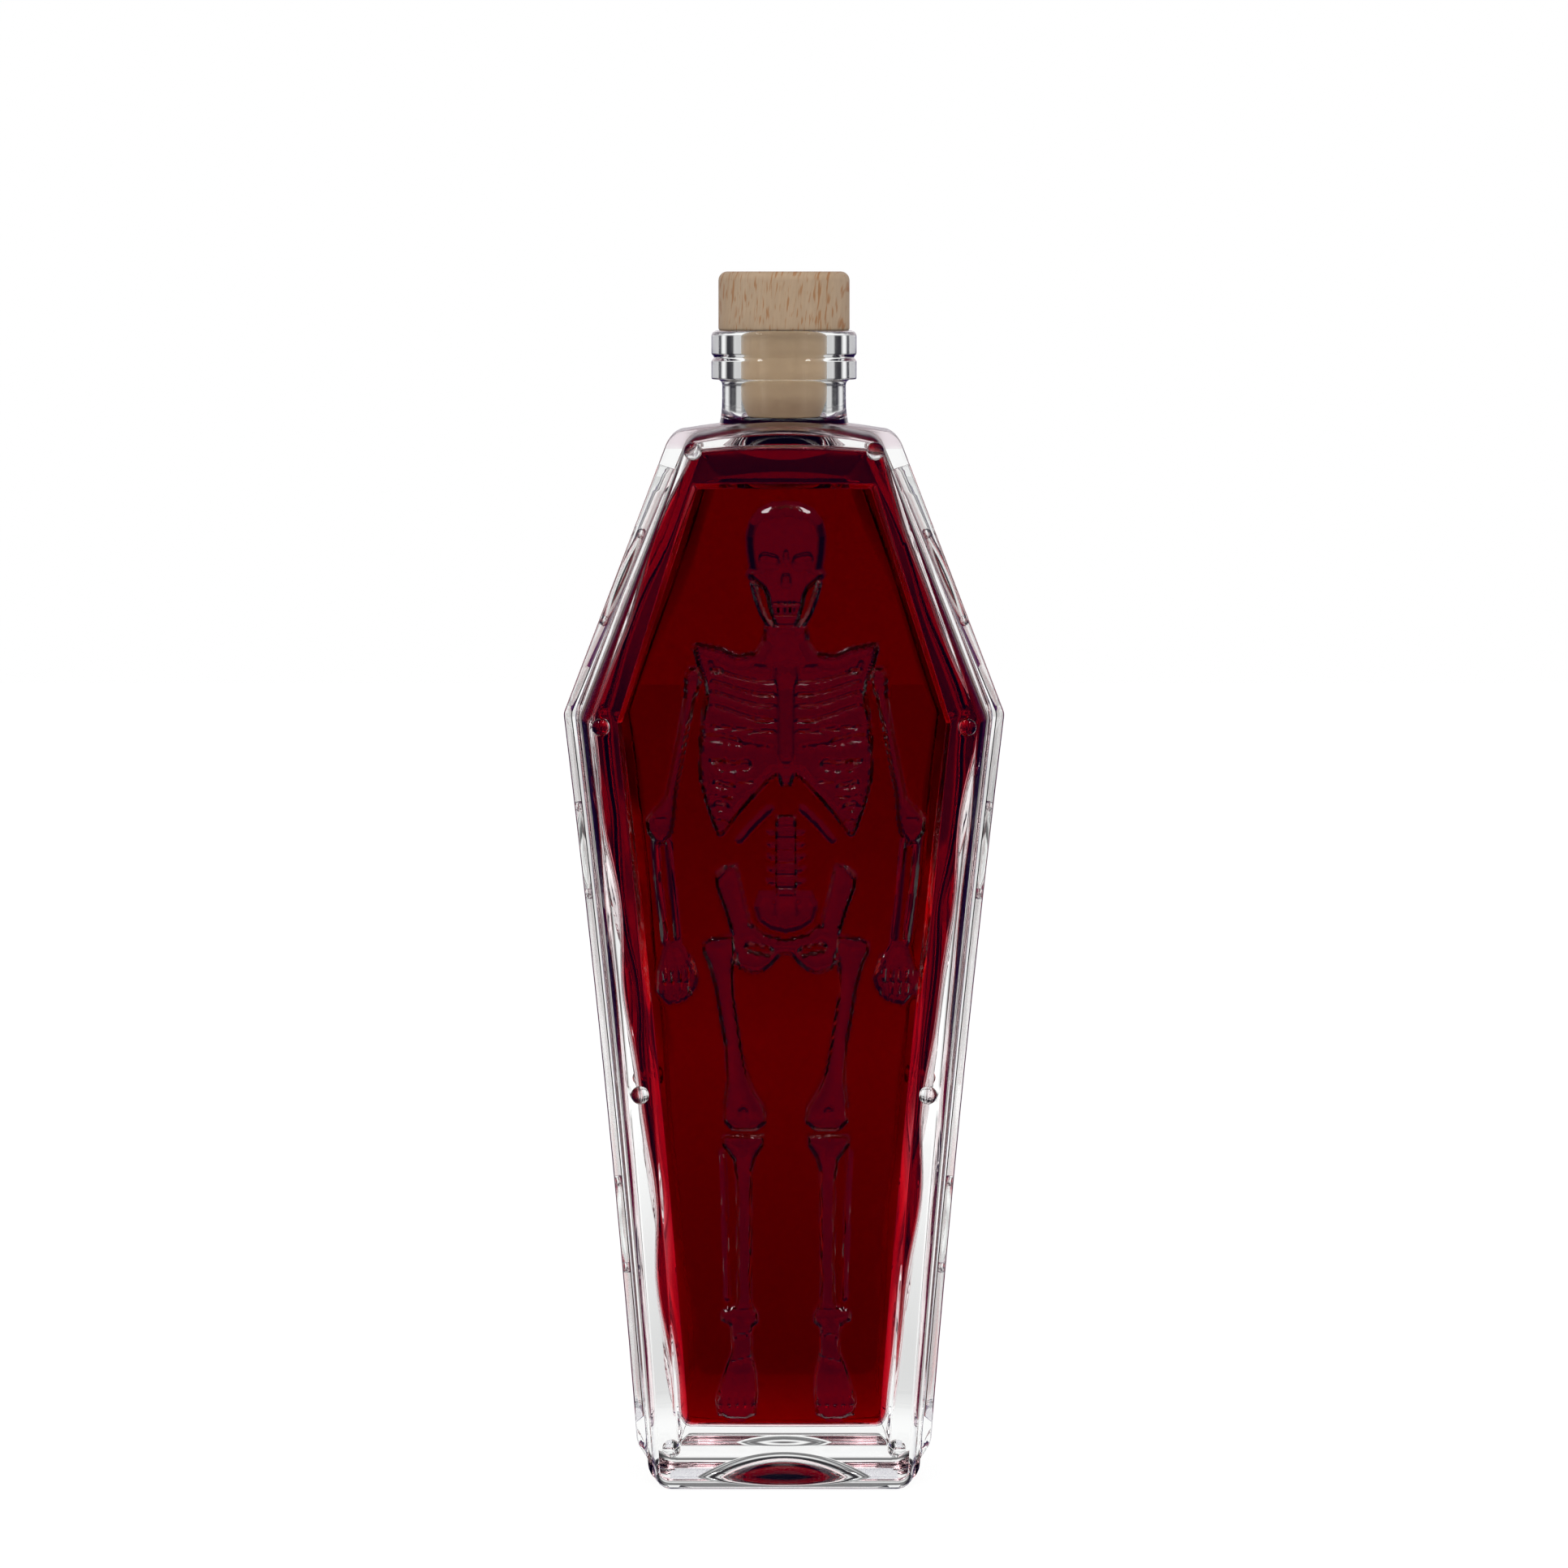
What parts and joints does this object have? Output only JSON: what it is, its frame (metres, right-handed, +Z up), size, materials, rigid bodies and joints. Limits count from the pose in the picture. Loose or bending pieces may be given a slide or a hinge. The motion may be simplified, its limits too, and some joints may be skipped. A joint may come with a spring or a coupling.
{
  "type": "coffin-shaped glass bottle",
  "caption": "Clear glass bottle shaped like a coffin, with a skeleton moulded on its front, handles on its sides, dark red liquid inside and a wooden stopper that pulls out.",
  "frame": {"origin": "centre of the base's underside", "axes": "+Z up through the neck and along the stopper's travel, the front panel with the skeleton faces -Y, +X to the viewer's right"},
  "size_m": [0.093, 0.056, 0.2575],
  "materials": {
    "glass": "gloss",
    "liquid": "gloss",
    "beech": "satin",
    "polymer": "matte"
  },
  "bodies": {
    "bottle": {"bottle": "glass", "liquid": "liquid"},
    "stopper": {"stopper_head": "beech", "stopper_shank": "polymer"}
  },
  "joints": [
    {"name": "stopper_pull", "type": "slide", "parent": "bottle", "child": "stopper", "axis": [0, 0, 1], "range_m": [0, 0.03]}
  ]
}
